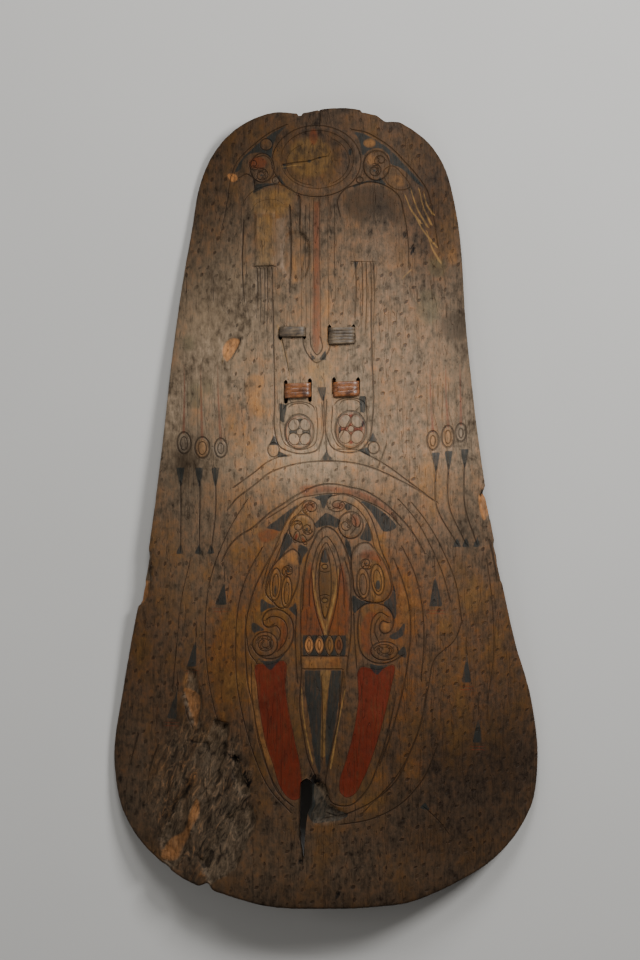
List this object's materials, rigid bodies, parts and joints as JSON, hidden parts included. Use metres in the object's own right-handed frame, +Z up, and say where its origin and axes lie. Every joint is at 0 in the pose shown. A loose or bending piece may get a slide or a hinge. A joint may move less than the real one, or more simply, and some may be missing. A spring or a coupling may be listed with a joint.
{
  "type": "curved wooden war shield",
  "caption": "Curved wooden war shield with a painted scroll pattern, a rotted corner, and a cane loop handle tied through slots.",
  "frame": {"origin": "on the floor under the middle of the bounding box; the shield lies on its back with its painted front up", "axes": "+Y along the board to its narrow head, +X to the right of someone who looks at the front, +Z up through the crown of the front"},
  "size_m": [0.4256, 0.8, 0.0645],
  "materials": {
    "painted_wood": "old browned softwood with a worn painted pattern",
    "rattan": "round cane, handled smooth",
    "split_cane": "split cane strips with their glossy skin outwards"
  },
  "bodies": {
    "root": {"board": "painted_wood", "handle_loop_left": "rattan", "handle_loop_right": "rattan", "lashing_upper_left": "split_cane", "lashing_upper_right": "split_cane", "lashing_lower_left": "split_cane", "lashing_lower_right": "split_cane"}
  },
  "joints": []
}
